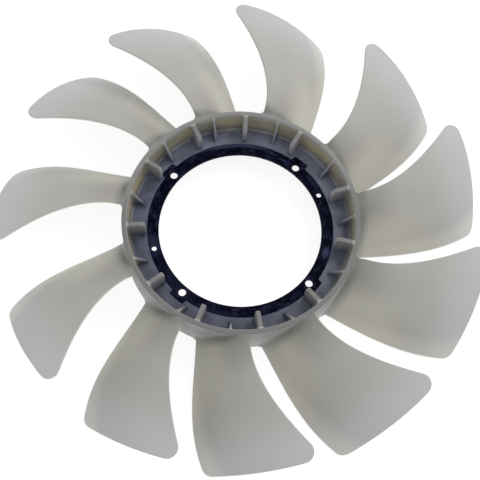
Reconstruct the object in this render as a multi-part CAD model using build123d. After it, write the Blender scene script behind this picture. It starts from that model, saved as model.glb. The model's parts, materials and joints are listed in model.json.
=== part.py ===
from build123d import *
from build123d.topology import SkipClean
import math
import os

# Axial fan impeller: one nylon moulding with eleven unevenly spaced blades
# on a ribbed barrel, moulded around a flat steel mounting ring.
# Millimetres. The origin is on the axis, in the front face of the steel ring.
# +Z points upstream, to the open side of the barrel.

# Steel mounting ring: an open band round its bore, then a band that the floor holds
ring_bore_radius = 75.8
ring_open_width = 10.7
ring_held_width = 12.0
ring_thickness = 2.5
bolt_circle_setback = 6.2
bolt_hole_radius = 3.5
bolt_azimuths = (45, 135, 225, 315)
locating_hole_radius = 2.4
locating_azimuths = (20.3, 189.8)
seat_clearance = 0.5

# Floor of the barrel, which holds the rim of the steel ring from both sides
floor_front_thickness = 2.0
floor_back_thickness = 2.5
notch_width = 17.0
notch_depth = 4.5
notch_corner_radius = 2.0

# Barrel
barrel_radius = 108.5
rim_height = 26.3
rim_width = 4.3
wall_foot_width = 6.3
back_depth = 19.7
back_width = 4.5
foot_fillet_radius = 2.5

# Tall ribs and small gussets inside the barrel
rib_end_setback = 1.0
rib_crest_thickness = 4.2
rib_foot_thickness = 5.0
rib_corner_radius = 4.0
rib_azimuths = (13.2, 52.8, 82.8, 111, 142.5, 179.3, 212.5, 243, 274.3, 306.7, 343)
gusset_end_setback = 3.5
gusset_thickness = 2.6
gusset_azimuths = (29.5, 65.5, 99.7, 129, 161.5, 197, 232.5, 259.7, 291, 327, 358)

# Blades: both edges are curves on four poles, evenly spread from the root to
# the tip. Each pole is an offset across the blade's radial line and a height.
tip_radius = 225.0
trailing_offsets = (-34.0, -31.5, -40.1, -14.7)
trailing_heights = (-15.9, -30.1, -17.7, -30.6)
leading_offsets = (13.3, 9.1, 46.1, 105.9)
leading_heights = (29.1, 31.3, 38.0, 27.7)
blade_root_camber = 0.07
blade_tip_camber = 0.11
blade_root_thickness = 4.2
blade_tip_thickness = 2.2
blade_edge_radius = 0.9
trailing_corner_radius = 11.0
leading_corner_radius = 9.1
root_fillet_radius = 2.5
root_ramp_height = 6.0
root_ramp_width = 11.0
blade_azimuths = (1.8, 31.7, 67.2, 101.5, 129.7, 162.7, 199, 231.5, 261.8, 293.4, 328.7)

# Working solids run this far past the faces that trim them
overrun = 8.0
station_count = 6

# Radii and heights that follow from the sizes above
floor_bore_radius = ring_bore_radius + ring_open_width
ring_outer_radius = floor_bore_radius + ring_held_width
bolt_circle_radius = ring_bore_radius + bolt_circle_setback
seat_radius = floor_bore_radius - seat_clearance
rib_end_radius = floor_bore_radius + rib_end_setback
gusset_end_radius = floor_bore_radius + gusset_end_setback
floor_back_height = -ring_thickness - floor_back_thickness
rim_inner_radius = barrel_radius - rim_width
wall_middle_radius = barrel_radius - rim_width / 2


def radius_of(point):
    """Distance of a point from the axis."""
    return math.hypot(point.X, point.Y)


def around(solid, azimuths):
    """Copies of a solid turned about the axis to each azimuth."""
    return [Rot(0, 0, azimuth) * solid for azimuth in azimuths]


def edge_poles(offsets, heights):
    """Poles of a blade's edge curve along +X, from inside the wall to past the tip."""
    start = barrel_radius - overrun
    step = (tip_radius + overrun / 2 - start) / (len(offsets) - 1)
    return [Vector(start + i * step, offsets[i], heights[i]) for i in range(len(offsets))]


def edge_point(poles, share):
    """Point of an edge curve at a share of its reach along +X: points between neighbouring
    poles at that share, and between those again, until one is left."""
    if len(poles) == 1:
        return poles[0]
    between = [near + (far - near) * share for near, far in zip(poles, poles[1:])]
    return edge_point(between, share)


def blade_section(trailing, leading, camber, thickness):
    """Cambered plate section, its crown upstream, run on past both edges of the blade."""
    chord = leading - trailing
    normal = Vector(0, -chord.Z, chord.Y).normalized()
    rise = camber * chord.length
    middle_radius = (chord.length**2 / 4 + rise**2) / (2 * rise)
    centre = (leading + trailing) * 0.5 + normal * (rise - middle_radius)
    half_angle = math.asin(chord.length / 2 / middle_radius) + overrun / middle_radius
    start, sweep = -math.degrees(half_angle), 2 * math.degrees(half_angle)
    suction = CenterArc((0, 0), middle_radius + thickness / 2, start, sweep)
    pressure = CenterArc((0, 0), middle_radius - thickness / 2, start, sweep)
    ends = [Line(suction @ 0, pressure @ 0), Line(suction @ 1, pressure @ 1)]
    plane = Plane(origin=centre, x_dir=normal, z_dir=(1, 0, 0))
    return plane * make_face([suction, pressure] + ends)


def blade_outline():
    """The blade seen along the axis, with its two tip corners rounded."""
    level = (0,) * len(trailing_offsets)
    trailing = Bezier(*edge_poles(trailing_offsets, level))
    leading = Bezier(*edge_poles(leading_offsets, level))
    ends = [Line(trailing @ 0, leading @ 0), Line(trailing @ 1, leading @ 1)]
    outline = make_face([trailing, leading] + ends) & Circle(tip_radius)
    tip_corners = outline.vertices().filter_by(lambda corner: radius_of(corner) > tip_radius - 1)
    trailing_corner, leading_corner = tip_corners.sort_by(Axis.Y)
    outline = fillet(trailing_corner, trailing_corner_radius)
    leading_corner = outline.vertices().sort_by_distance(leading_corner)[0]
    return fillet(leading_corner, leading_corner_radius)


def make_blade():
    """One twisted, swept and cambered blade along +X, rounded all along its edge, its root
    square inside the wall."""
    trailing_poles = edge_poles(trailing_offsets, trailing_heights)
    leading_poles = edge_poles(leading_offsets, leading_heights)
    sections = []
    for i in range(station_count):
        share = i / (station_count - 1)
        trailing = edge_point(trailing_poles, share)
        leading = edge_point(leading_poles, share)
        camber = blade_root_camber + (blade_tip_camber - blade_root_camber) * share
        thickness = blade_root_thickness + (blade_tip_thickness - blade_root_thickness) * share
        sections.append(blade_section(trailing, leading, camber, thickness))
    blade = loft(sections) & extrude(blade_outline(), tip_radius, both=True)
    outside = blade.edges().filter_by(lambda edge: radius_of(edge @ 0.5) > barrel_radius)
    return fillet(outside, blade_edge_radius)


def moulding_envelope():
    """Turned space that bounds the moulding: the barrel's wall and floor, and the blades
    outside them, which a ramp leads down to the rim."""
    wall_foot_radius = barrel_radius - wall_foot_width
    ramp_end_radius = barrel_radius + root_ramp_width
    outside_radius = tip_radius + overrun
    profile = Polyline(
        (rim_inner_radius, rim_height),
        (wall_foot_radius, floor_front_thickness),
        (floor_bore_radius, floor_front_thickness),
        (floor_bore_radius, floor_back_height),
        (wall_foot_radius, floor_back_height),
        (barrel_radius - back_width, -back_depth),
        (barrel_radius + root_fillet_radius, -back_depth),
        (barrel_radius + root_fillet_radius, -tip_radius),
        (outside_radius, -tip_radius),
        (outside_radius, tip_radius),
        (ramp_end_radius, tip_radius),
        (ramp_end_radius, rim_height + root_ramp_height),
        (barrel_radius, rim_height),
        close=True,
    )
    section = make_face(profile)
    feet = section.vertices().filter_by(lambda v: abs(v.X - wall_foot_radius) < 0.01)
    section = fillet(feet, foot_fillet_radius)
    return revolve(Plane.XZ * section, Axis.Z)


def make_barrel_with_blades():
    """Blades on a solid barrel, their roots filleted, then turned to the moulding's section."""
    solid_barrel = Cylinder(barrel_radius, 2 * tip_radius)
    blank = solid_barrel.fuse(*around(make_blade(), blade_azimuths))
    roots = blank.edges().filter_by(
        lambda edge: all(
            abs(radius_of(edge @ share) - barrel_radius) < 0.01 and abs((edge @ share).Z) < tip_radius / 2
            for share in (0, 0.25, 0.5, 0.75, 1)
        )
    )
    return fillet(roots, root_fillet_radius) & moulding_envelope()


def make_rib():
    """Tall rib along +X, thinner at its crest than at its foot."""
    length = wall_middle_radius - rib_end_radius
    middle = (wall_middle_radius + rib_end_radius) / 2
    foot = Pos(middle, 0, floor_front_thickness / 2) * Rectangle(length, rib_foot_thickness)
    crest = Pos(middle, 0, rim_height) * Rectangle(length, rib_crest_thickness)
    rib = loft([foot, crest])
    inner_corner = rib.edges().filter_by(Axis.Y).group_by(Axis.Z)[-1].sort_by(Axis.X)[0]
    return fillet(inner_corner, rib_corner_radius)


def make_gusset():
    """Small triangular gusset along +X, from the rim down to the floor."""
    profile = Polyline(
        (gusset_end_radius, floor_front_thickness / 2),
        (gusset_end_radius, floor_front_thickness),
        (rim_inner_radius, rim_height),
        (wall_middle_radius, rim_height),
        (wall_middle_radius, floor_front_thickness / 2),
        close=True,
    )
    return extrude(Plane.XZ * make_face(profile), gusset_thickness / 2, both=True)


def make_notch():
    """Recess in the floor along +X that leaves room around a bolt's head."""
    reach = floor_bore_radius + notch_depth
    block = Pos(reach - overrun, 0, 0) * Rectangle(2 * overrun, notch_width)
    outer = block.vertices().group_by(Axis.X)[-1]
    return extrude(fillet(outer, notch_corner_radius), overrun)


def ring_band(inner_radius, outer_radius):
    """Flat band of the steel ring, as thick as the sheet."""
    return extrude(Circle(outer_radius) - Circle(inner_radius), -ring_thickness)


def make_ring():
    """Steel ring with bolt holes and locating holes on one circle. A split line at the seat
    radius parts its open face, which a hub's flange lies on, from the band in the floor."""
    bolt_hole = Pos(bolt_circle_radius, 0, 0) * Cylinder(bolt_hole_radius, 2 * overrun)
    locating_hole = Pos(bolt_circle_radius, 0, 0) * Cylinder(locating_hole_radius, 2 * overrun)
    holes = around(bolt_hole, bolt_azimuths) + around(locating_hole, locating_azimuths)
    open_band = ring_band(ring_bore_radius, seat_radius) - holes
    with SkipClean():
        return open_band.fuse(ring_band(seat_radius, ring_outer_radius))


def make_moulding():
    """The whole nylon moulding, with the pocket that the steel ring fills."""
    moulding = make_barrel_with_blades()
    ribs = around(make_rib(), rib_azimuths) + around(make_gusset(), gusset_azimuths)
    moulding = moulding.fuse(*ribs)
    pocket = ring_band(ring_bore_radius, ring_outer_radius)
    return moulding - (around(make_notch(), bolt_azimuths) + [pocket])


def write_part(name, shape):
    """Write one piece as a STEP file named after its node."""
    shape.label = name
    export_step(shape, os.path.join("parts", name + ".step"))


os.makedirs("parts", exist_ok=True)
write_part("impeller_moulding", make_moulding())
write_part("mounting_ring", make_ring())
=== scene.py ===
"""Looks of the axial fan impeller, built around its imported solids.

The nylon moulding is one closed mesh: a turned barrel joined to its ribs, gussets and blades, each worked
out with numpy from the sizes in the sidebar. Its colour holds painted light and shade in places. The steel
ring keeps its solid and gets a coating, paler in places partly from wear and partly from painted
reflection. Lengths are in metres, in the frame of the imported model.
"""

import json
import math

import bmesh
import bpy
import numpy as np
from bpy.props import FloatProperty, FloatVectorProperty, PointerProperty
from mathutils import Matrix, Vector


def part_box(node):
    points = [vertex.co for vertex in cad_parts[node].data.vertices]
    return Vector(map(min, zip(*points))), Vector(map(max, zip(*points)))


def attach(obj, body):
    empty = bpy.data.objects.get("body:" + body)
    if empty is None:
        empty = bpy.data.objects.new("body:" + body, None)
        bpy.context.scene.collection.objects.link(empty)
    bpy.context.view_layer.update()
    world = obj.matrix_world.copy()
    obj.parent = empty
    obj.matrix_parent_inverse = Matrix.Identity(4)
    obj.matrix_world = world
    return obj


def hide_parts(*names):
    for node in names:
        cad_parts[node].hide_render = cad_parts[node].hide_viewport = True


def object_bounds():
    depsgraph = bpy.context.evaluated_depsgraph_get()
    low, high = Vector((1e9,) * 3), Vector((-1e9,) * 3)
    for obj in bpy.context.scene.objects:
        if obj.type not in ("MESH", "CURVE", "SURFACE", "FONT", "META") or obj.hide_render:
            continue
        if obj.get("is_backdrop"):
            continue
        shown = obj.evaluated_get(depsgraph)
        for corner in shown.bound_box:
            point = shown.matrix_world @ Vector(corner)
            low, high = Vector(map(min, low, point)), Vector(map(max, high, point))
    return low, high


bl_info = {
    "name": "Axial Fan Impeller",
    "version": (1, 0, 0),
    "blender": (4, 5, 0),
    "location": "3D View > Sidebar > Impeller",
    "description": "Builds the moulded impeller, its ring's finish and a plain studio",
    "category": "Object",
}

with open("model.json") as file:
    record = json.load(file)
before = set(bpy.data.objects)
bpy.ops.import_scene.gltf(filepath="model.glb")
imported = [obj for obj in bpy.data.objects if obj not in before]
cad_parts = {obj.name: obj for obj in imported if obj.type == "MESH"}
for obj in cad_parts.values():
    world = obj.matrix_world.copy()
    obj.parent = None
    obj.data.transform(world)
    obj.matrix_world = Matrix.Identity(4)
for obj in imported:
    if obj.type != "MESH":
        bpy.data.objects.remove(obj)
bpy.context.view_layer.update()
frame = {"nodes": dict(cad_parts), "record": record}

MM = 0.001
MOUNTS = {mount["name"]: mount for mount in frame["record"]["mounts"]}
BOLT_COUNT = MOUNTS["clutch_bolts"]["dims"]["count"]
RING_LOW, RING_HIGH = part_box("mounting_ring")
TIP_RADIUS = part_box("impeller_moulding")[1].x

# How the pieces of the moulding cross where they are joined: the blades' edge curves run past
# the faces that trim them, their roots start inside the wall, and the crests of ribs and
# gussets lie a little under the rim
OVERRUN = 8 * MM
ROOT_DEPTH = 1 * MM
CREST_STEP = 0.1 * MM
GUSSET_CREST_STEP = 3 * CREST_STEP

# Width of the slanted flanks of the recesses round the bolts
NOTCH_FLANK = 1.6 * MM

# How finely the surfaces are divided: points of an arc, even steps round the barrel, points
# over a recess's flank and the angle kept clear beside them, the longest step along a web's
# rim, the power by which rows crowd towards a rim, and points searched along an edge curve
ARC_STEPS = 6
BARREL_STEPS = 240
FLANK_STEPS = 7
CLEAR_ANGLE = math.radians(0.3)
WEB_STEP = 1.6 * MM
ROW_CROWDING = 1.4
SEARCH_STEPS = 500

# Corners that turn by less than this angle stay as they are
STRAIGHT = 0.01
# A blade's middle line ends this many leading corner radii before the tip
SPINE_SETBACK = 4
MERGE_DISTANCE = MM / 1000
SHARP_ANGLE = math.radians(40)

# Heights on blades and walls between which a colour comes in, from nothing to full: painted light on the
# blades' low and lowest sides, painted shade on their high sides, painted shade giving way to painted
# light down the root fillets, and painted light at the outer wall's foot
LOW_SIDE = (24 * MM, -4 * MM)
LOWEST_SIDE = (-4 * MM, -17 * MM)
HIGH_SIDE = (6 * MM, 24 * MM)
ROOT_FOOT = (20 * MM, -26 * MM)
WALL_FOOT = (14 * MM, -14 * MM)

# Shares of a blade's reach between which its low side gets painted light, paler towards the barrel
PALE_REACH = (0.8, 0.15)
# How far out from the wall the painted shade on the high side and the root fillet's painted shade and
# light go, and where the wall's own colour begins
HIGH_SIDE_SHADE_REACH = 46 * MM
FILLET_REACH = (11.5 * MM, 1 * MM)
WALL_REACH = (0.6 * MM, 0.1 * MM)

# Depths under the rim's height where the rim's and the crests' colours begin, and where the inner lip's
# painted light begins
RIM_DEPTH = (1.5 * MM, 0.3 * MM)
CREST_DEPTH = (1.5 * MM, 0.4 * MM)
LIP_DEPTH = 9 * MM
# The inner wall gets painted shade below this height, darkening towards the floor, and the webs' colour
# starts this far off the floor
DARK_FOOT = 12 * MM
WEB_START = 0.3 * MM
# Distances off the rim's inner edge and off the inner wall where one colour meets the next
INSIDE_EDGE = (0.6 * MM, -0.2 * MM)
INNER_WALL = (-2.4 * MM, -0.5 * MM)

# Azimuths toward which the painted shade on the blades' high sides is weakest and the floor's painted
# light is strongest, and the sines of azimuth between which the rim gets its painted highlight at its
# outer edge
PALE_BLADES = math.radians(130)
PALE_FLOOR = math.radians(55)
RIM_HIGHLIGHT_SIDE = (0.05, 0.45)

# How much of a colour shows at the two ends of its range: painted light on the blades' lowest parts,
# painted shade on their high sides, painted light on one side of the floor, the floor's own clouds,
# painted shade at the inner wall's foot, the rim's painted highlight, and the coating's paler mottling,
# partly wear and partly painted reflection
LOWEST_SHARES = (0.22, 0.88)
SIDE_SHADE_SHARES = (0.68, 0.3)
FLOOR_SIDE_SHARES = (-0.38, 0.5)
FLOOR_CLOUD_SHARES = (0.0, 0.62)
DARK_FOOT_SHARES = (0.0, 0.65)
RIM_HIGHLIGHT_SHARES = (0.14, 0.4)
WEAR_AND_REFLECTION_SHARES = (0.0, 0.25)
# The webs' colour comes in with this power of the climb from the floor to the rim. Below it they are
# darker, partly from steel showing through and partly painted shade
WEB_POWER = 0.7

# Steepness from which a surface counts as an upright edge and gets painted light, in part and in full
UPRIGHT = (0.3, 0.7)
# Values of a noise between which a colour or a roughness comes in
PALE_CLOUDS = (0.38, 0.6)
WARM_CLOUDS = (0.35, 0.65)
SATIN_CLOUDS = (0.3, 0.7)
MARKS = (0.52, 0.76)
MARKED_CLOUDS = (0.4, 0.62)
# Tints, roughness, shine and depth of grain
CLOUD_TINTS = ((0.93, 0.93, 0.94), (1.0, 1.0, 0.985))
NYLON_ROUGHNESS = (0.42, 0.56)
NYLON_GRAIN_DEPTH = 0.03 * MM
COATING_ROUGHNESS = (0.36, 0.5)
COATING_SHINE = 0.03
COATING_GRAIN_DEPTH = 0.02 * MM

# Two noises times this are the raggedness of the coating's paler mottling, which is partly wear and partly
# painted reflection. It begins all over where it passes the first value, and in a patch where it and the
# distance from the middle add up to less than the second
RAGGEDNESS = 1.2
WEAR_AND_REFLECTION_ALL_OVER = (1.15, 1.6)
PATCH_BORDER = (2.5, 1.4)
# Streaks are this many times longer than wide, and streaks and specks show by these shares
STREAK_STRETCH = 5
STREAK_SHARE = 0.2
SPECK_SHARE = 0.22

# Where the ring's coating is paler, partly rubbed and partly painted reflection: azimuth and half angle in
# degrees, radius and half width in millimetres, and how far the coating is paled there
WEAR_AND_REFLECTION_PATCHES = (
    (88, 22, 85.3, 2.2, 0.75),
    (30, 6, 84.0, 2.5, 0.25),
    (54, 3.5, 81.5, 1.2, 0.6),
    (64, 5, 83.0, 1.5, 0.3),
    (-21.5, 4.5, 82.5, 4.0, 0.9),
    (-173, 9, 82.0, 7.0, 0.3),
    (-140, 14, 82.0, 7.0, 0.12),
    (-112, 16, 84.0, 3.0, 0.12),
)

# Scale and detail of each noise
NYLON_CLOUDS = (45, 3.0)
NYLON_SATIN = (90, 2.0)
NYLON_GRAIN = (900, 4.0)
FLOOR_CLOUDS = (75, 3.0)
COATING_CLOUDS = (110, 5.0)
COATING_GRAIN = (600, 4.0)
STREAKS = (700, 4.0)
SPECKS = (500, 3.0)

# Sockets of a Mix node that hold its two colours and the result
FIRST_COLOUR, SECOND_COLOUR, MIXED_COLOUR = 6, 7, 2
# Width of the camera's sensor in millimetres
SENSOR_WIDTH = 36


def number(name, description, value, **kind):
    """A number that a user can change."""
    return FloatProperty(name=name, description=description, default=value, **kind)


def length(name, description, millimetres):
    """A length that a user can change, given here in millimetres."""
    return number(name, description, millimetres * MM, unit="LENGTH", subtype="DISTANCE")


def row(name, description, values, **kind):
    """Several numbers that a user can change."""
    return FloatVectorProperty(
        name=name, description=description, default=values, size=len(values), **kind
    )


def lengths(name, description, millimetres):
    """A row of lengths, given here in millimetres."""
    return row(name, description, [value * MM for value in millimetres], unit="LENGTH")


def angles(name, description, degrees):
    """A row of angles, given here in degrees."""
    return row(name, description, [math.radians(value) for value in degrees], unit="ROTATION")


def place(name, description, value):
    """A point in space, in metres."""
    return row(name, description, value, subtype="TRANSLATION", precision=4)


def colour(name, description, value):
    """A scene-linear colour."""
    return row(name, description, value, min=0, max=1, subtype="COLOR")


class BarrelSizes(bpy.types.PropertyGroup):
    """Sizes of the barrel, its floor, ribs and gussets."""

    radius: length("Radius", "Outside of the barrel's wall", 108.5)
    rim_height: length("Rim height", "Top of the wall over the ring's front face", 26.3)
    rim_width: length("Rim width", "Wall thickness at the rim", 4.3)
    foot_width: length("Foot width", "Wall thickness at the floor", 6.3)
    back_depth: length("Back depth", "Lower edge of the wall below the ring's front face", 19.7)
    back_width: length("Back width", "Wall thickness at its lower edge", 4.5)
    floor_bore: length("Floor bore", "Radius where the floor ends and the ring shows", 86.5)
    floor_front: length("Front floor", "Nylon over the ring", 2.0)
    floor_back: length("Back floor", "Nylon behind the ring", 2.5)
    foot_fillet: length("Foot fillet", "Fillet between wall and floor", 2.5)
    edge: length("Edge", "Rounding of the barrel's edges", 0.7)
    notch_width: length("Notch width", "Recess in the floor round each bolt", 17.0)
    notch_depth: length("Notch depth", "How far a recess goes into the floor", 4.5)
    rib_setback: length("Rib setback", "From the floor's bore to the end of a rib", 1.0)
    rib_crest: length("Rib crest", "Thickness of a rib at its crest", 4.2)
    rib_foot: length("Rib foot", "Thickness of a rib at its foot", 5.0)
    rib_corner: length("Rib corner", "Rounding of a rib's inner top corner", 4.0)
    gusset_setback: length("Gusset setback", "From the floor's bore to the foot of a gusset", 3.5)
    gusset_thickness: length("Gusset thickness", "Thickness of a gusset", 2.6)
    web_fillet: length("Web fillet", "Fillet at the feet of ribs and gussets", 1.6)
    rib_azimuths: angles(
        "Rib azimuths",
        "Where the tall ribs stand",
        (13.2, 52.8, 82.8, 111, 142.5, 179.3, 212.5, 243, 274.3, 306.7, 343),
    )
    gusset_azimuths: angles(
        "Gusset azimuths",
        "Where the small gussets stand",
        (29.5, 65.5, 99.7, 129, 161.5, 197, 232.5, 259.7, 291, 327, 358),
    )


class BladeSizes(bpy.types.PropertyGroup):
    """Sizes of the blades. Each edge is a cubic curve on four poles."""

    trailing_offsets: lengths(
        "Trailing offsets", "Poles across the radial line", (-34.0, -31.5, -40.1, -14.7)
    )
    trailing_heights: lengths("Trailing heights", "Heights of those poles", (-15.9, -30.1, -17.7, -30.6))
    leading_offsets: lengths("Leading offsets", "Poles across the radial line", (13.3, 9.1, 46.1, 105.9))
    leading_heights: lengths("Leading heights", "Heights of those poles", (29.1, 31.3, 38.0, 27.7))
    root_camber: number("Root camber", "Rise over chord at the root", 0.07)
    tip_camber: number("Tip camber", "Rise over chord at the tip", 0.11)
    root_thickness: length("Root thickness", "Thickness at the barrel", 4.2)
    tip_thickness: length("Tip thickness", "Thickness at the tip", 2.2)
    trailing_corner: length("Trailing corner", "Rounding of the low tip corner, seen along the axis", 11.0)
    leading_corner: length("Leading corner", "Rounding of the high tip corner, seen along the axis", 9.1)
    edge: length("Edge", "Rounding of the blade's edge", 0.9)
    root_fillet: length("Root fillet", "Fillet between blade and barrel", 2.5)
    ramp_height: length("Ramp height", "Rise of the ramp that leads down to the rim", 6.0)
    ramp_width: length("Ramp width", "Length of that ramp", 11.0)
    azimuths: angles(
        "Blade azimuths",
        "Where the blades stand, unevenly to spread their tone",
        (1.8, 31.7, 67.2, 101.5, 129.7, 162.7, 199, 231.5, 261.8, 293.4, 328.7),
    )


class FinishColours(bpy.types.PropertyGroup):
    """Colours of the nylon and of the ring's coating. Several of them are painted light and painted shade.
    """

    # Painted shade on the root fillets' upper part and on the blades' high sides near the barrel
    root: colour("Root", "Nylon of the root fillets and the blades' high sides", (0.22, 0.214, 0.195))
    # Painted light through the nylon at the outer wall's foot and low on the root fillets
    foot: colour("Foot", "Nylon of the outer wall's foot, where light comes through", (0.70, 0.695, 0.685))
    inner: colour("Inner blade", "Nylon just outside the root", (0.47, 0.457, 0.413))
    # Painted light through a blade's low side near the barrel
    through: colour("Low side", "Nylon of a blade's low side near the barrel", (0.70, 0.69, 0.60))
    # Painted light on a blade's thin upright edges and its lowest part
    edge: colour("Blade edge", "Nylon of a blade's thin edges and of its lowest part", (0.92, 0.90, 0.80))
    middle: colour("Blade middle", "Nylon half way out", (0.46, 0.45, 0.42))
    tip: colour("Blade tip", "Nylon at the tips", (0.56, 0.552, 0.556))
    # The outer wall's own colour, also used for the painted highlight at the rim's outer edge
    wall: colour("Outer wall", "Nylon of the outer wall, and of the rim's pale edge", (0.45, 0.445, 0.45))
    rim: colour("Rim", "Nylon of the rim", (0.182, 0.18, 0.178))
    crest: colour("Crests", "Nylon of the crests of ribs and gussets", (0.20, 0.198, 0.193))
    web: colour("Webs", "Nylon of ribs and gussets under their crests", (0.29, 0.29, 0.295))
    # Painted light at the top of the inner wall
    lip: colour("Inner lip", "Nylon of the inner wall just under the rim", (0.40, 0.395, 0.38))
    # Painted glow of light through the inner wall
    glow: colour("Inner wall", "Nylon of the inner wall, where light comes through", (0.31, 0.30, 0.235))
    # Warmer clouds within that painted glow
    glow_warm: colour("Warm inner wall", "Warmer clouds in the inner wall", (0.45, 0.40, 0.26))
    floor: colour("Floor", "Nylon of the floor, where the steel shows through", (0.062, 0.071, 0.112))
    # Painted light on one side of the floor, and the floor's own paler clouds
    floor_pale: colour("Pale floor", "Paler side and paler clouds of the floor", (0.152, 0.166, 0.23))
    coating: colour("Coating", "Coating of the steel ring", (0.0005, 0.0007, 0.0085))
    # Paler coating, partly wear and partly painted reflection
    wear_and_reflection: colour("Worn coating", "Coating where it is rubbed pale", (0.065, 0.07, 0.155))
    scratch: colour("Scratches", "Bare steel in scratches", (0.13, 0.14, 0.22))


class StudioSettings(bpy.types.PropertyGroup):
    """Light, camera and floor."""

    sky: number("Sky", "Strength of the even light", 0.66, min=0)
    lamp: number("Lamp", "Power of the lamp", 55, min=0, unit="POWER")
    lamp_side: number("Lamp side", "Width of the lamp", 3.0, unit="LENGTH")
    lamp_place: place("Lamp place", "Middle of the lamp", (2.28, 1.16, 2.94))
    floor_side: number("Floor side", "Width of the floor", 6.0, unit="LENGTH")
    floor_light: number("Floor light", "The floor's own light where it is seen", 0.86, min=0)
    lens: number("Lens", "Focal length", 76.91, min=1, unit="CAMERA")
    shift: row("Shift", "Shift of the lens, in picture widths", (-0.00074, -0.0231))
    camera_place: place("Camera place", "Where the camera stands", (-0.0687, -0.3388, 0.8882))
    camera_angles: angles("Camera angles", "Tilt, turn and roll of the camera", (21.24, -11.47, 6.942))


# Shapes


def between(start, end, share):
    """Value at a share of the way from a start to an end."""
    return start + (end - start) * share


def radius_of(points):
    """Distance of points from the axis."""
    return np.hypot(points[..., 0], points[..., 1])


def polar(radius, azimuth):
    """Plan points at a distance from the axis and an azimuth."""
    return np.stack([radius * np.cos(azimuth), radius * np.sin(azimuth)], axis=-1)


def unit(vectors):
    """The same directions, each one long."""
    return vectors / np.linalg.norm(vectors, axis=1)[:, None]


def cubic(poles, share):
    """Cubic curve on four poles: the poles weighed by the Bernstein terms of the share."""
    share = np.asarray(share)[..., None]
    terms = np.array([math.comb(3, k) for k in range(4)]) * share ** np.arange(4)
    return (terms * (1 - share) ** (3 - np.arange(4))) @ np.array(poles)


def fillet_rise(distance, radius):
    """How far a fillet stands off a face at a distance from the wall it runs into: the radius
    less the root of radius squared minus (radius minus distance) squared. It is nothing past
    the radius, and the whole radius inside the wall."""
    reach = radius - np.clip(distance, 0, radius)
    return radius - np.sqrt(radius**2 - reach**2)


def soft_minimum(a, b, width):
    """The lower of two values, rounded over a width: half of their sum less the root of their
    difference squared plus the width squared."""
    return (a + b - np.sqrt((a - b) ** 2 + width**2)) / 2


def rounded_path(corners, radii):
    """Points and left-hand normals of a path of straight runs joined by tangent arcs. An arc
    starts its radius times the tangent of half the turn before its corner, and its centre lies
    one radius to the side of that point."""
    corners = np.array(corners, float)
    points, normals = [], []

    def left(direction):
        return np.array([-direction[1], direction[0]])

    def put(point, normal):
        points.append(point)
        normals.append(normal)

    runs = unit(np.diff(corners, axis=0))
    put(corners[0], left(runs[0]))
    for corner, before, after, radius in zip(corners[1:-1], runs[:-1], runs[1:], radii):
        turn = math.atan2(before[0] * after[1] - before[1] * after[0], before @ after)
        if radius == 0 or abs(turn) < STRAIGHT:
            put(corner, left(before))
            put(corner, left(after))
            continue
        side = math.copysign(1, turn)
        start = corner - before * radius * math.tan(abs(turn) / 2)
        centre = start + side * radius * left(before)
        for share in np.linspace(0, 1, ARC_STEPS):
            angle = math.atan2(before[1], before[0]) + turn * share
            normal = np.array([-math.sin(angle), math.cos(angle)])
            put(centre - side * radius * normal, normal)
    put(corners[-1], left(runs[-1]))
    return np.array(points), np.array(normals)


def plate_shell(rim, inward, upper, lower, inset, edge, rings, steps):
    """Grid over both faces of a plate and round its free edge, as plan points with heights.
    The faces are heights over the plan. Across the rim they run as two parallel slopes that
    end at an upright wall, and an arc of the edge radius rounds each of the two corners: its
    centre is one radius in from the wall, and one radius off the slope. Each arc has as many
    rows as it has steps. Past the arcs the rings of each face go inwards to where inset leads
    them, and crowd towards the rim by a power."""
    probe = edge / 2
    top, bottom = upper(rim), lower(rim)
    step_in = rim + probe * inward
    slope = (upper(step_in) - top + lower(step_in) - bottom) / (2 * probe)
    lean = np.sqrt(1 + slope**2)
    top_centre = top + edge * (slope - lean)
    bottom_centre = bottom + edge * (slope + lean)
    middle = (top_centre + bottom_centre) / 2
    top_centre, bottom_centre = np.maximum(top_centre, middle), np.minimum(bottom_centre, middle)
    rows = []
    for centre, start, face in (
        (top_centre, np.arctan2(1 / lean, -slope / lean), upper),
        (bottom_centre, np.arctan2(-1 / lean, slope / lean), lower),
    ):
        wall = math.copysign(math.pi, start.mean())
        arc = []
        for share in np.linspace(0, 1, steps):
            angle = between(start, wall, share)
            plan = rim + inward * (edge * (1 + np.cos(angle)))[:, None]
            height = centre + edge * np.sin(angle)
            arc.append(np.column_stack([plan, height if share else face(plan)]))
        border = arc[0][:, :2]
        inner = [inset(border, (1 - k / rings) ** ROW_CROWDING) for k in range(rings)]
        face_rows = [np.column_stack([plan, face(plan)]) for plan in inner]
        rows.append(face_rows + arc)
    return np.stack(rows[0] + rows[1][::-1], axis=1)


def grid_faces(columns, rows, closed=False):
    """Four-sided faces of a grid of points, numbered along each column in turn. A closed grid
    joins its last column and row to its first ones."""
    index = np.arange(columns * rows).reshape(columns, rows)
    if closed:
        index = np.vstack([index, index[:1]])
        index = np.hstack([index, index[:, :1]])
    corners = (index[:-1, :-1], index[1:, :-1], index[1:, 1:], index[:-1, 1:])
    return np.stack(corners, axis=-1).reshape(-1, 4)


def end_faces(columns, rows):
    """Faces that close a shell's first and last column, from its upper half to its lower."""
    near = np.arange(rows // 2)
    far = rows - 1 - near
    faces = np.stack([near[:-1], near[1:], far[1:], far[:-1]], axis=-1)
    return np.vstack([faces, faces + (columns - 1) * rows])


def turned(points, azimuth):
    """Points turned about the axis."""
    c, s = math.cos(azimuth), math.sin(azimuth)
    return points @ np.array([[c, s, 0], [-s, c, 0], [0, 0, 1]])


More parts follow.
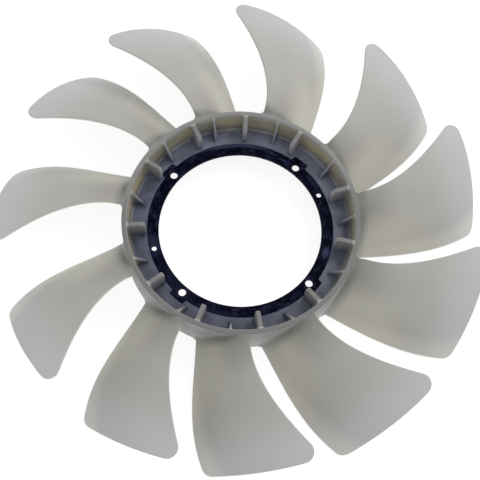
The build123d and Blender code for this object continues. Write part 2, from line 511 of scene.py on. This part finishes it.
def copies_of_shell(grid, azimuths):
    """Points and faces of a shell, repeated about the axis."""
    columns, rows = grid.shape[:2]
    faces = np.vstack([grid_faces(columns, rows), end_faces(columns, rows)])
    points = grid.reshape(-1, 3)
    all_points = [turned(points, azimuth) for azimuth in azimuths]
    all_faces = [faces + i * len(points) for i in range(len(azimuths))]
    return np.vstack(all_points), np.vstack(all_faces)


# Barrel


def notch_angles(barrel):
    """Half angle of a recess round a bolt, and the angle of its flank, seen from the axis."""
    return barrel.notch_width / 2 / barrel.floor_bore, NOTCH_FLANK / barrel.floor_bore


def notch_share(barrel, azimuth):
    """How far a recess is open at an azimuth: 1 in its middle, 0 outside, with a smooth step
    over each flank, three times the share of the flank squared less twice its cube."""
    spacing = 2 * math.pi / BOLT_COUNT
    off_bolt = np.abs(azimuth % spacing - spacing / 2)
    half, flank = notch_angles(barrel)
    share = np.clip((half - off_bolt) / flank, 0, 1)
    return share * share * (3 - 2 * share)


def barrel_azimuths(barrel):
    """Even steps round the barrel, and finer steps over the flanks of the recesses. An even
    step that would lie too close to a finer one is left out."""
    bolts = (np.arange(BOLT_COUNT) + 0.5) * 2 * math.pi / BOLT_COUNT
    half, flank = notch_angles(barrel)
    sides = np.linspace(half - flank, half, FLANK_STEPS)
    fine = (bolts[:, None] + np.concatenate([-sides, sides])).ravel()
    coarse = np.linspace(0, 2 * math.pi, BARREL_STEPS, endpoint=False)
    clear = np.abs(coarse[:, None] - fine).min(axis=1) > CLEAR_ANGLE
    return np.sort(np.concatenate([coarse[clear], fine]))


def barrel_profile(barrel, lip_radius, pocket_radius):
    """Section of the barrel, radius against height, with the pocket of the steel ring."""
    foot = barrel.radius - barrel.foot_width
    back = RING_LOW.z - barrel.floor_back
    fillet, edge = barrel.foot_fillet, barrel.edge
    corners = [
        (barrel.radius, 0),
        (barrel.radius, barrel.rim_height),
        (barrel.radius - barrel.rim_width, barrel.rim_height),
        (foot, barrel.floor_front),
        (lip_radius, barrel.floor_front),
        (lip_radius, RING_HIGH.z),
        (pocket_radius, RING_HIGH.z),
        (pocket_radius, RING_LOW.z),
        (barrel.floor_bore, RING_LOW.z),
        (barrel.floor_bore, back),
        (foot, back),
        (barrel.radius - barrel.back_width, -barrel.back_depth),
        (barrel.radius, -barrel.back_depth),
        (barrel.radius, 0),
    ]
    radii = [edge, edge, fillet, edge, 0, 0, 0, 0, edge, fillet, edge, edge]
    return rounded_path(corners, radii)[0][:-1]


def barrel_shell(barrel):
    """The barrel's section turned about the axis. Over each bolt the lip of the floor moves
    out to the recess's radius: the plain and the recessed section are mixed by notch_share."""
    plain = barrel_profile(barrel, barrel.floor_bore, RING_HIGH.x)
    recessed = barrel_profile(barrel, barrel.floor_bore + barrel.notch_depth, RING_HIGH.x)
    azimuth = barrel_azimuths(barrel)
    section = between(plain, recessed, notch_share(barrel, azimuth)[:, None, None])
    plan = polar(section[..., 0], azimuth[:, None])
    grid = np.dstack([plan, section[..., 1]])
    return grid.reshape(-1, 3), grid_faces(*grid.shape[:2], closed=True)


def web_shell(barrel, corners, radii, half_thickness):
    """A rib or gusset along +X. Its plan is radius against height, its rim is a rounded path
    from the floor to the wall, and its rows run to a point hidden in the foot of the wall.
    The half thickness grows by a fillet towards the floor and towards the wall."""
    foot = barrel.radius - barrel.foot_width
    top = barrel.radius - barrel.rim_width
    hidden = np.array([corners[-1][0], corners[0][1]])

    def thickness(plan):
        radius, height = plan[:, 0], plan[:, 1]
        climb = (height - barrel.floor_front) / (barrel.rim_height - barrel.floor_front)
        wall = between(foot, top, climb)
        rise = fillet_rise(height - barrel.floor_front, barrel.web_fillet)
        return half_thickness(climb) + np.hypot(rise, fillet_rise(wall - radius, barrel.web_fillet))

    rim, normals = rounded_path(corners, radii)
    rim, inward = spread(rim, -normals, WEB_STEP)
    grid = plate_shell(
        rim,
        inward,
        upper=thickness,
        lower=lambda plan: -thickness(plan),
        inset=lambda border, share: between(border, hidden, share),
        edge=barrel.edge,
        rings=7,
        steps=4,
    )
    return grid[..., [0, 2, 1]]


def spread(points, normals, gap):
    """The same path with points added wherever two lie more than a gap apart."""
    run = np.concatenate([[0], np.cumsum(np.linalg.norm(np.diff(points, axis=0), axis=1))])
    extra = [np.linspace(a, b, int((b - a) / gap) + 2)[1:-1] for a, b in zip(run[:-1], run[1:])]
    stations = np.sort(np.concatenate([run] + extra))
    path = np.column_stack([np.interp(stations, run, points[:, i]) for i in (0, 1)])
    facing = np.column_stack([np.interp(stations, run, normals[:, i]) for i in (0, 1)])
    return path, unit(facing)


def rib_shell(barrel):
    """Tall rib: upright inner end, rounded corner, crest just under the rim."""
    end = barrel.floor_bore + barrel.rib_setback
    inside_wall = barrel.radius - barrel.rim_width / 2
    crest = barrel.rim_height - CREST_STEP
    corners = [(end, barrel.floor_front / 2), (end, crest), (inside_wall, crest)]

    def half(climb):
        return between(barrel.rib_foot, barrel.rib_crest, climb) / 2

    return web_shell(barrel, corners, [barrel.rib_corner], half)


def gusset_shell(barrel):
    """Small gusset: a sloping edge from the floor up to the rim, equally thick all over."""
    end = barrel.floor_bore + barrel.gusset_setback
    inside_wall = barrel.radius - barrel.rim_width / 2
    crest = barrel.rim_height - GUSSET_CREST_STEP
    corners = [
        (end, barrel.floor_front / 2),
        (end, barrel.floor_front),
        (barrel.radius - barrel.rim_width, crest),
        (inside_wall, crest),
    ]
    corner = barrel.floor_front / 4

    def half(climb):
        return np.full_like(climb, barrel.gusset_thickness / 2)

    return web_shell(barrel, corners, [corner, corner], half)


# Blades


def blade_reach(barrel):
    """Where the edge curves of a blade start and end along its radial line."""
    return barrel.radius - OVERRUN, TIP_RADIUS + OVERRUN / 2


def blade_height(barrel, blade, plan, side):
    """Height of a blade's face over a plan point. At each station along the radial line the
    section is an arc through both edges, with a rise of camber times chord. Its radius is
    (chord squared over 4 plus rise squared) over twice the rise. The face lies half a
    thickness off that arc, and the root fillet adds to it near the barrel."""
    start, end = blade_reach(barrel)
    share = (plan[:, 0] - start) / (end - start)
    trailing_y, trailing_z = cubic(blade.trailing_offsets, share), cubic(blade.trailing_heights, share)
    leading_y, leading_z = cubic(blade.leading_offsets, share), cubic(blade.leading_heights, share)
    across, up = leading_y - trailing_y, leading_z - trailing_z
    chord = np.hypot(across, up)
    rise = between(blade.root_camber, blade.tip_camber, share) * chord
    radius = (chord**2 / 4 + rise**2) / (2 * rise)
    centre_y = (trailing_y + leading_y) / 2 - up / chord * (rise - radius)
    centre_z = (trailing_z + leading_z) / 2 + across / chord * (rise - radius)
    thickness = between(blade.root_thickness, blade.tip_thickness, share)
    fillet = fillet_rise(radius_of(plan) - barrel.radius, blade.root_fillet)
    radius = radius + side * (thickness / 2 + fillet)
    return centre_z + np.sqrt(radius**2 - (plan[:, 1] - centre_y) ** 2)


def edge_line(barrel, offsets, side, share):
    """Plan points of a blade's edge curve and the unit normals that point into the blade."""
    start, end = blade_reach(barrel)
    points = np.column_stack([between(start, end, share), cubic(offsets, share)])
    tangent = np.gradient(points, share, axis=0)
    return points, unit(side * np.column_stack([-tangent[:, 1], tangent[:, 0]]))


def tip_corner(barrel, offsets, side, radius):
    """Share of the edge curve where the corner's arc starts, and the arc's centre, which lies
    one corner radius in from the edge and from the tip circle."""
    share = np.linspace(0.5, 1, SEARCH_STEPS)
    points, normals = edge_line(barrel, offsets, side, share)
    centres = points + radius * normals
    excess = radius_of(centres) - (TIP_RADIUS - radius)
    meeting = float(np.interp(0, excess, share))
    centre = np.array([np.interp(meeting, share, centres[:, i]) for i in (0, 1)])
    return meeting, centre


def root_share(barrel, offsets):
    """Share of an edge curve where it is the root's depth inside the barrel's wall."""
    share = np.linspace(0, 0.5, SEARCH_STEPS)
    points = edge_line(barrel, offsets, 1, share)[0]
    return float(np.interp(barrel.radius - ROOT_DEPTH, radius_of(points), share))


def blade_rim(barrel, blade, edge_steps=46, corner_steps=9, tip_steps=31):
    """Plan outline of a blade from the root along its trailing edge, round the tip and back
    along its leading edge, with inward normals. The edges step more finely near the root."""
    fine = np.linspace(0, 1, edge_steps) ** 2
    pieces, corners = [], []
    for offsets, side, radius in (
        (blade.trailing_offsets, 1, blade.trailing_corner),
        (blade.leading_offsets, -1, blade.leading_corner),
    ):
        root = root_share(barrel, offsets)
        meeting, centre = tip_corner(barrel, offsets, side, radius)
        points, normals = edge_line(barrel, offsets, side, between(root, meeting, fine))
        facing = math.atan2(-normals[-1, 1], -normals[-1, 0])
        outward = math.atan2(centre[1], centre[0])
        arms = polar(1, np.linspace(facing, outward, corner_steps)[1:])
        points = np.vstack([points, centre + radius * arms])
        normals = np.vstack([normals, -arms])
        pieces.append((points, normals))
        corners.append(outward)
    arms = polar(1, np.linspace(*corners, tip_steps)[1:-1])
    (trailing, trailing_in), (leading, leading_in) = pieces
    rim = np.vstack([trailing, TIP_RADIUS * arms, leading[::-1]])
    inward = np.vstack([trailing_in, -arms, leading_in[::-1]])
    fillet = fillet_rise(radius_of(rim) - barrel.radius, blade.root_fillet)
    return rim - inward * fillet[:, None], inward


def blade_shell(barrel, blade):
    """One blade along +X. Its rows run in from the rim to a middle line, in radius and
    azimuth, and past the end of that line they meet in its last point. Its heights are then
    held under the ramp, which rises from the rim with the distance off the wall, and near the
    wall also over the wall's lower edge. Both limits are soft minimums."""
    rim, inward = blade_rim(barrel, blade)
    radius = radius_of(rim)
    azimuth = np.arctan2(rim[:, 1], rim[:, 0])
    last_radius = TIP_RADIUS - SPINE_SETBACK * blade.leading_corner
    spine_radius = (radius + radius[::-1]) / 2
    spine_azimuth = (azimuth + azimuth[::-1]) / 2
    way_out = slice(len(rim) // 3)
    last_azimuth = np.interp(last_radius, spine_radius[way_out], spine_azimuth[way_out])
    past = spine_radius > last_radius
    spine_radius[past] = last_radius
    spine_azimuth[past] = last_azimuth

    def inset(border, share):
        border_azimuth = np.arctan2(border[:, 1], border[:, 0])
        row_radius = between(spine_radius, radius_of(border), 1 - share)
        return polar(row_radius, between(spine_azimuth, border_azimuth, 1 - share))

    grid = plate_shell(
        rim,
        inward,
        upper=lambda plan: blade_height(barrel, blade, plan, 1),
        lower=lambda plan: blade_height(barrel, blade, plan, -1),
        inset=inset,
        edge=blade.edge,
        rings=9,
        steps=5,
    )
    off_wall = radius_of(grid) - barrel.radius
    ramp = barrel.rim_height + blade.ramp_height / blade.ramp_width * np.maximum(off_wall, 0)
    height = soft_minimum(grid[..., 2], ramp - CREST_STEP, barrel.edge)
    lowest = barrel.edge / 2 - barrel.back_depth
    near_height = -soft_minimum(-height, -lowest, barrel.edge)
    grid[..., 2] = np.where(off_wall < blade.root_fillet, near_height, height)
    return grid


# Meshes


def new_object(context, name, data):
    """A mesh, camera or lamp as a new object in the scene."""
    item = bpy.data.objects.new(name, data)
    context.scene.collection.objects.link(item)
    return item


def closed_mesh(name, points, faces):
    """Mesh of closed shells: seams and poles are merged and faces are turned outwards."""
    mesh = bpy.data.meshes.new(name)
    mesh.from_pydata(points.tolist(), [], faces.tolist())
    work = bmesh.new()
    work.from_mesh(mesh)
    bmesh.ops.remove_doubles(work, verts=work.verts, dist=MERGE_DISTANCE)
    bmesh.ops.recalc_face_normals(work, faces=work.faces)
    if any(len(edge.link_faces) != 2 for edge in work.edges):
        raise RuntimeError(name + " isn't closed")
    work.to_mesh(mesh)
    work.free()
    return mesh


def joined(context, name, meshes):
    """The union of closed meshes, as one new object."""
    pieces = [new_object(context, mesh.name, mesh) for mesh in meshes]
    for piece in pieces[1:]:
        union = pieces[0].modifiers.new(piece.name, "BOOLEAN")
        union.operation = "UNION"
        union.solver = "MANIFOLD"
        union.object = piece
    evaluated = pieces[0].evaluated_get(context.evaluated_depsgraph_get())
    mesh = bpy.data.meshes.new_from_object(evaluated)
    mesh.name = name
    for piece in pieces:
        bpy.data.objects.remove(piece)
    if len(mesh.polygons) <= max(len(part.polygons) for part in meshes):
        raise RuntimeError(name + " couldn't be joined")
    return new_object(context, name, mesh)


def smooth(piece, angle):
    """Smooth shading, broken only where faces turn by more than an angle, with each face
    weighing on the normals by its area."""
    piece.data.shade_smooth()
    piece.data.set_sharp_from_angle(angle=angle)
    weights = piece.modifiers.new("Weighted normals", "WEIGHTED_NORMAL")
    weights.keep_sharp = True


# Materials


class Finish:
    """A new material, with short ways to add its nodes."""

    def __init__(self, name):
        self.material = bpy.data.materials.new(name)
        self.material.use_nodes = True
        self.tree = self.material.node_tree
        self.shader = self.tree.nodes["Principled BSDF"]

    def put(self, socket, value):
        """Set a socket, or link it where the value is another node's output."""
        if isinstance(value, bpy.types.NodeSocket):
            self.tree.links.new(value, socket)
        elif hasattr(value, "__len__") and socket.type == "RGBA":
            socket.default_value = (*value, 1)
        else:
            socket.default_value = value

    def shade(self, name, value):
        """Set or link one of the shader's own sockets."""
        self.put(self.shader.inputs[name], value)

    def maths(self, operation, *values):
        """Result of one operation on values or on outputs of other nodes."""
        node = self.tree.nodes.new("ShaderNodeMath")
        node.operation = operation
        for socket, value in zip(node.inputs, values):
            self.put(socket, value)
        return node.outputs[0]

    def times(self, a, b):
        """Product of two values."""
        return self.maths("MULTIPLY", a, b)

    def hypotenuse(self, a, b):
        """Root of the sum of two squares."""
        squares = [self.maths("POWER", value, 2.0) for value in (a, b)]
        return self.maths("SQRT", self.maths("ADD", *squares))

    def toward(self, azimuth, middle):
        """Cosine of the angle off a middle azimuth: 1 there, -1 across from it."""
        return self.maths("COSINE", self.maths("SUBTRACT", azimuth, middle))

    def off_middle(self, value, middle, half):
        """How far a value lies from a middle, as a share of half a width."""
        return self.maths("DIVIDE", self.maths("SUBTRACT", value, middle), half)

    def step(self, value, low, high, start=0.0, end=1.0):
        """Smooth step of a value, from start at low to end at high."""
        node = self.tree.nodes.new("ShaderNodeMapRange")
        node.interpolation_type = "SMOOTHSTEP"
        for socket, entry in zip(node.inputs, (value, low, high, start, end)):
            self.put(socket, entry)
        return node.outputs[0]

    def mix(self, factor, first, second, blend="MIX"):
        """Mix of two colours: the first at a factor of 0, the second at 1."""
        node = self.tree.nodes.new("ShaderNodeMix")
        node.data_type = "RGBA"
        node.blend_type = blend
        self.put(node.inputs["Factor"], factor)
        self.put(node.inputs[FIRST_COLOUR], first)
        self.put(node.inputs[SECOND_COLOUR], second)
        return node.outputs[MIXED_COLOUR]

    def noise(self, scale, detail, vector=None):
        """Noise on the object's own coordinates, or on another vector."""
        node = self.tree.nodes.new("ShaderNodeTexNoise")
        self.put(node.inputs["Vector"], vector or self.coordinates())
        node.inputs["Scale"].default_value = scale
        node.inputs["Detail"].default_value = detail
        return node.outputs[0]

    def coordinates(self):
        """The object's own coordinates, from one node that all others share."""
        node = self.tree.nodes.get("Object coordinates")
        if node is None:
            node = self.tree.nodes.new("ShaderNodeTexCoord")
            node.name = "Object coordinates"
        return node.outputs["Object"]

    def cylinder(self):
        """Radius, azimuth and height of a point."""
        split = self.tree.nodes.new("ShaderNodeSeparateXYZ")
        self.put(split.inputs[0], self.coordinates())
        x, y, z = split.outputs
        return self.hypotenuse(x, y), self.maths("ARCTAN2", y, x), z

    def steepness(self):
        """0 where a face lies flat, 1 where it stands upright."""
        split = self.tree.nodes.new("ShaderNodeSeparateXYZ")
        self.put(split.inputs[0], self.tree.nodes.new("ShaderNodeNewGeometry").outputs["Normal"])
        return self.maths("SUBTRACT", 1.0, self.maths("ABSOLUTE", split.outputs["Z"]))

    def bump(self, height, distance):
        """Roughen the surface by a height over a distance."""
        node = self.tree.nodes.new("ShaderNodeBump")
        node.inputs["Distance"].default_value = distance
        self.put(node.inputs["Height"], height)
        self.shade("Normal", node.outputs[0])


def blade_colour(finish, barrel, colours, radius, azimuth, height):
    """Colour of the blades, by radius from the root fillets out to the tips. Near the barrel the low side
    gets painted light, where light from below comes through. The high side near the barrel gets painted
    shade, and more so on one side of the fan. Thin upright edges get painted light, and the root fillets
    painted shade above and painted light below."""
    root, reach = barrel.radius, TIP_RADIUS - barrel.radius
    half_way = root + reach / 2
    result = finish.mix(finish.step(radius, root, half_way), colours.inner, colours.middle)
    result = finish.mix(finish.step(radius, half_way, root + reach), result, colours.tip)

    # Painted light through the low side near the barrel, and more on its lowest part
    pale_radii = [root + share * reach for share in PALE_REACH]
    low = finish.times(finish.step(radius, *pale_radii), finish.step(height, *LOW_SIDE))
    result = finish.mix(low, result, colours.through)
    pale = finish.step(radius, *pale_radii, *LOWEST_SHARES)
    lowest = finish.times(pale, finish.step(height, *LOWEST_SIDE))
    result = finish.mix(lowest, result, colours.edge)

    # Painted shade on the high side near the barrel, deeper on one side of the fan
    side_shade = finish.step(finish.toward(azimuth, PALE_BLADES), -1, 1, *SIDE_SHADE_SHARES)
    high = finish.step(height, *HIGH_SIDE, 0.0, side_shade)
    high_side_shade = finish.times(high, finish.step(radius, root + HIGH_SIDE_SHADE_REACH, root))
    result = finish.mix(high_side_shade, result, colours.root)
    # Painted light on thin upright edges
    result = finish.mix(finish.step(finish.steepness(), *UPRIGHT), result, colours.edge)

    # Root fillets: painted shade above, painted light through their low part
    at_fillet = finish.step(radius, *(root + distance for distance in FILLET_REACH))
    fillet = finish.mix(finish.step(height, *ROOT_FOOT), colours.root, colours.foot)
    return finish.mix(at_fillet, result, fillet)


def barrel_inside_colour(finish, barrel, colours, radius, azimuth, height, clouds):
    """Colour inside the barrel, by height from the floor, which is dark with steel behind it, up to the
    crests, which have a colour of their own. The webs darken towards the floor, partly from the steel
    behind and partly painted shade. The floor gets painted light toward one side, and paler clouds of its
    own. The wall's inner face has a painted glow where light comes through it, painted light at its top
    and painted shade towards the floor. It is told from the webs by the distance off its slanted face."""
    # Painted light on one side of the floor; the clouds are the floor's own tone
    pale_side = finish.step(finish.toward(azimuth, PALE_FLOOR), -1, 1, *FLOOR_SIDE_SHARES)
    pale_clouds = finish.step(finish.noise(*FLOOR_CLOUDS), *PALE_CLOUDS, *FLOOR_CLOUD_SHARES)
    pale = finish.maths("ADD", pale_side, pale_clouds)
    floor = finish.mix(pale, colours.floor, colours.floor_pale)

    rim_height, floor_height = barrel.rim_height, barrel.floor_front
    # Webs darker towards the floor: partly steel showing through, partly painted shade
    climb = finish.step(height, floor_height + WEB_START, rim_height)
    webs = finish.mix(finish.maths("POWER", climb, WEB_POWER), floor, colours.web)
    at_crest = finish.step(height, *(rim_height - depth for depth in CREST_DEPTH))
    webs = finish.mix(at_crest, webs, colours.crest)

    slant = (barrel.foot_width - barrel.rim_width) / (rim_height - floor_height)
    foot = barrel.radius - barrel.foot_width - slant * floor_height
    off_wall = finish.maths("SUBTRACT", radius, finish.maths("MULTIPLY_ADD", height, slant, foot))
    # Inner wall: painted glow of light through it, painted light at its top and painted shade towards the
    # floor
    glow = finish.mix(finish.step(clouds, *WARM_CLOUDS), colours.glow, colours.glow_warm)
    glow = finish.mix(finish.step(height, rim_height - LIP_DEPTH, rim_height), glow, colours.lip)
    darkened = finish.step(height, DARK_FOOT, floor_height, *DARK_FOOT_SHARES)
    glow = finish.mix(darkened, glow, floor)
    return finish.mix(finish.step(off_wall, *INNER_WALL), webs, glow)


def nylon_finish(barrel, colours):
    """Satin off-white nylon, coloured by its place on blade, wall, rim or inside, with painted light and
    shade in places, and with faint clouds and a fine grain over it all. The outer wall gets painted light
    through its foot. On one side of the fan the rim gets a painted highlight towards its outer edge."""
    finish = Finish("Natural nylon")
    radius, azimuth, height = finish.cylinder()
    clouds = finish.noise(*NYLON_CLOUDS)
    result = blade_colour(finish, barrel, colours, radius, azimuth, height)
    # Outer wall, with painted light through its foot
    at_wall = finish.step(radius, *(barrel.radius + distance for distance in WALL_REACH))
    wall = finish.mix(finish.step(height, *WALL_FOOT), colours.wall, colours.foot)
    result = finish.mix(at_wall, result, wall)

    rim_inside = barrel.radius - barrel.rim_width
    at_rim = finish.step(height, *(barrel.rim_height - depth for depth in RIM_DEPTH))
    # Painted highlight at the rim's outer edge, on one side of the fan
    pale_side = finish.step(finish.maths("SINE", azimuth), *RIM_HIGHLIGHT_SIDE)
    rim_highlight = finish.step(radius, rim_inside, barrel.radius, *RIM_HIGHLIGHT_SHARES)
    rim = finish.mix(finish.times(pale_side, rim_highlight), colours.rim, colours.wall)
    result = finish.mix(finish.times(at_wall, at_rim), result, rim)

    inside = finish.step(radius, *(rim_inside + distance for distance in INSIDE_EDGE))
    within = barrel_inside_colour(finish, barrel, colours, radius, azimuth, height, clouds)
    result = finish.mix(inside, result, within)
    result = finish.mix(1.0, result, finish.mix(clouds, *CLOUD_TINTS), "MULTIPLY")
    finish.shade("Base Color", result)
    satin = finish.noise(*NYLON_SATIN)
    finish.shade("Roughness", finish.step(satin, *SATIN_CLOUDS, *NYLON_ROUGHNESS))
    finish.bump(finish.noise(*NYLON_GRAIN), NYLON_GRAIN_DEPTH)
    return finish.material


def ring_finish(colours):
    """Blue-black coating on sheet steel, paler in ragged mottling all over and in patches, partly from
    wear and partly painted reflection, with fine scratches that run round it. A patch is an ellipse in
    azimuth and radius, its border broken up by noise."""
    finish = Finish("Coated steel")
    radius, azimuth = finish.cylinder()[:2]
    unrolled = finish.tree.nodes.new("ShaderNodeCombineXYZ")
    finish.put(unrolled.inputs["X"], finish.times(azimuth, RING_HIGH.x / STREAK_STRETCH))
    finish.put(unrolled.inputs["Y"], radius)
    clouds = finish.noise(*COATING_CLOUDS)
    streaks = finish.noise(*STREAKS, vector=unrolled.outputs[0])
    specks = finish.noise(*SPECKS)
    ragged = finish.times(finish.maths("ADD", clouds, streaks), RAGGEDNESS)

    # Paler mottling all over and in patches: partly wear, partly painted reflection
    wear_and_reflection = finish.step(ragged, *WEAR_AND_REFLECTION_ALL_OVER, *WEAR_AND_REFLECTION_SHARES)
    result = finish.mix(wear_and_reflection, colours.coating, colours.wear_and_reflection)
    for middle, half_angle, centre, half_width, amount in WEAR_AND_REFLECTION_PATCHES:
        turn = finish.off_middle(azimuth, math.radians(middle), math.radians(half_angle))
        reach = finish.off_middle(radius, centre * MM, half_width * MM)
        span = finish.maths("ADD", finish.hypotenuse(turn, reach), ragged)
        result = finish.mix(finish.step(span, *PATCH_BORDER, 0.0, amount), result, colours.wear_and_reflection)

    marked = finish.step(clouds, *MARKED_CLOUDS)
    for noise, share in ((streaks, STREAK_SHARE), (specks, SPECK_SHARE)):
        marks = finish.times(finish.step(noise, *MARKS, 0.0, share), marked)
        result = finish.mix(marks, result, colours.scratch)
    finish.shade("Base Color", result)
    finish.shade("Roughness", finish.step(clouds, *SATIN_CLOUDS, *COATING_ROUGHNESS))
    finish.shade("Specular IOR Level", COATING_SHINE)
    finish.bump(finish.noise(*COATING_GRAIN), COATING_GRAIN_DEPTH)
    return finish.material


# Studio


def place_camera(context, settings):
    """Camera that looks down on the fan: it is tilted about +X, turned about +Z, and rolled
    about its own axis."""
    data = bpy.data.cameras.new("Camera")
    data.lens = settings.lens
    data.sensor_width = SENSOR_WIDTH
    data.shift_x, data.shift_y = settings.shift
    camera = new_object(context, "Camera", data)
    tilt, turn, roll = settings.camera_angles
    aim = Matrix.Rotation(turn, 4, "Z") @ Matrix.Rotation(tilt, 4, "X") @ Matrix.Rotation(roll, 4, "Z")
    camera.matrix_world = Matrix.Translation(settings.camera_place) @ aim
    context.scene.camera = camera


def seen_directly(tree):
    """1 where a ray comes from the camera, a reflection or a clear surface, otherwise 0."""
    path = tree.nodes.new("ShaderNodeLightPath")
    total = path.outputs["Is Camera Ray"]
    for name in ("Is Glossy Ray", "Is Transmission Ray"):
        node = tree.nodes.new("ShaderNodeMath")
        node.operation = "MAXIMUM"
        tree.links.new(total, node.inputs[0])
        tree.links.new(path.outputs[name], node.inputs[1])
        total = node.outputs[0]
    return total


def lay_floor(context, settings):
    """Square floor under the blades' lowest corners. Where it is seen directly, its own light
    makes it white, and its darker grey keeps a faint shadow."""
    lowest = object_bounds()[0].z
    corners = np.array([[-1, -1], [1, -1], [1, 1], [-1, 1]]) * settings.floor_side / 2
    mesh = bpy.data.meshes.new("Studio_floor")
    mesh.from_pydata(np.column_stack([corners, np.full(4, lowest)]).tolist(), [], [(0, 1, 2, 3)])
    piece = new_object(context, "Studio_floor", mesh)
    finish = Finish("White floor")
    seen = seen_directly(finish.tree)
    pale_grey, dark_grey = (0.8, 0.8, 0.8), (0.3, 0.3, 0.3)
    finish.shade("Base Color", finish.mix(seen, pale_grey, dark_grey))
    finish.shade("Roughness", 0.9)
    finish.shade("Specular IOR Level", 0)
    finish.shade("Emission Color", (1, 1, 1))
    finish.shade("Emission Strength", finish.times(seen, settings.floor_light))
    mesh.materials.append(finish.material)
    piece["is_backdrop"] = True


def light_sky(context, settings):
    """Even white light from all round, white where it is seen."""
    world = bpy.data.worlds.new("Studio light")
    world.use_nodes = True
    context.scene.world = world
    background = world.node_tree.nodes["Background"]
    strength = world.node_tree.nodes.new("ShaderNodeMapRange")
    world.node_tree.links.new(seen_directly(world.node_tree), strength.inputs["Value"])
    strength.inputs["To Min"].default_value = settings.sky
    world.node_tree.links.new(strength.outputs[0], background.inputs["Strength"])
    background.inputs["Color"].default_value = (1, 1, 1, 1)


def hang_lamp(context, settings):
    """Large square lamp that faces the fan from one side."""
    data = bpy.data.lights.new("Lamp", "AREA")
    data.energy = settings.lamp
    data.size = settings.lamp_side
    lamp = new_object(context, "Lamp", data)
    lamp.location = settings.lamp_place
    lamp.rotation_euler = Vector(settings.lamp_place).to_track_quat("Z", "Y").to_euler()


# Operators


class IMPELLER_OT_moulding(bpy.types.Operator):
    """Build the nylon moulding: barrel, ribs, gussets and blades in one mesh"""

    bl_idname = "impeller.moulding"
    bl_label = "Nylon moulding"

    def execute(self, context):
        barrel, blade = context.scene.impeller_barrel, context.scene.impeller_blades
        shells = {
            "Barrel": barrel_shell(barrel),
            "Ribs": copies_of_shell(rib_shell(barrel), barrel.rib_azimuths),
            "Gussets": copies_of_shell(gusset_shell(barrel), barrel.gusset_azimuths),
            "Blades": copies_of_shell(blade_shell(barrel, blade), blade.azimuths),
        }
        meshes = [closed_mesh(name, *shell) for name, shell in shells.items()]
        piece = joined(context, "Impeller_moulding", meshes)
        smooth(piece, SHARP_ANGLE)
        piece.data.materials.clear()
        piece.data.materials.append(nylon_finish(barrel, context.scene.impeller_colours))
        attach(piece, "root")
        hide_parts("impeller_moulding")
        return {"FINISHED"}


class IMPELLER_OT_ring(bpy.types.Operator):
    """Give the steel mounting ring its coating, with wear and painted reflection"""

    bl_idname = "impeller.ring"
    bl_label = "Ring coating"

    def execute(self, context):
        material = ring_finish(context.scene.impeller_colours)
        for slot in frame["nodes"]["mounting_ring"].material_slots:
            slot.material = material
        return {"FINISHED"}


class IMPELLER_OT_studio(bpy.types.Operator):
    """Set the camera, the pale floor and the soft light"""

    bl_idname = "impeller.studio"
    bl_label = "Studio"

    def execute(self, context):
        settings = context.scene.impeller_studio
        context.scene.view_settings.view_transform = "Standard"
        place_camera(context, settings)
        lay_floor(context, settings)
        light_sky(context, settings)
        hang_lamp(context, settings)
        return {"FINISHED"}


class IMPELLER_PT_sidebar(bpy.types.Panel):
    """Sizes, colours and steps of the impeller"""

    bl_idname = "IMPELLER_PT_sidebar"
    bl_label = "Axial fan impeller"
    bl_space_type = "VIEW_3D"
    bl_region_type = "UI"
    bl_category = "Impeller"

    def draw(self, context):
        for operator in OPERATORS:
            self.layout.operator(operator.bl_idname)
        for name, group in GROUPS.items():
            box = self.layout.box()
            settings = getattr(context.scene, name)
            for entry in group.__annotations__:
                box.prop(settings, entry)


OPERATORS = (IMPELLER_OT_moulding, IMPELLER_OT_ring, IMPELLER_OT_studio)
GROUPS = {
    "impeller_barrel": BarrelSizes,
    "impeller_blades": BladeSizes,
    "impeller_colours": FinishColours,
    "impeller_studio": StudioSettings,
}


def register():
    """Add the settings, the operators and the panel."""
    for name, group in GROUPS.items():
        bpy.utils.register_class(group)
        setattr(bpy.types.Scene, name, PointerProperty(type=group))
    for operator in OPERATORS:
        bpy.utils.register_class(operator)
    bpy.utils.register_class(IMPELLER_PT_sidebar)


def unregister():
    """Take them away again."""
    bpy.utils.unregister_class(IMPELLER_PT_sidebar)
    for operator in reversed(OPERATORS):
        bpy.utils.unregister_class(operator)
    for name, group in GROUPS.items():
        delattr(bpy.types.Scene, name)
        bpy.utils.unregister_class(group)


def main():
    """Build the pieces and the stage in order."""
    register()
    bpy.ops.impeller.moulding()
    bpy.ops.impeller.ring()
    bpy.ops.impeller.studio()


if __name__ == "__main__":
    main()
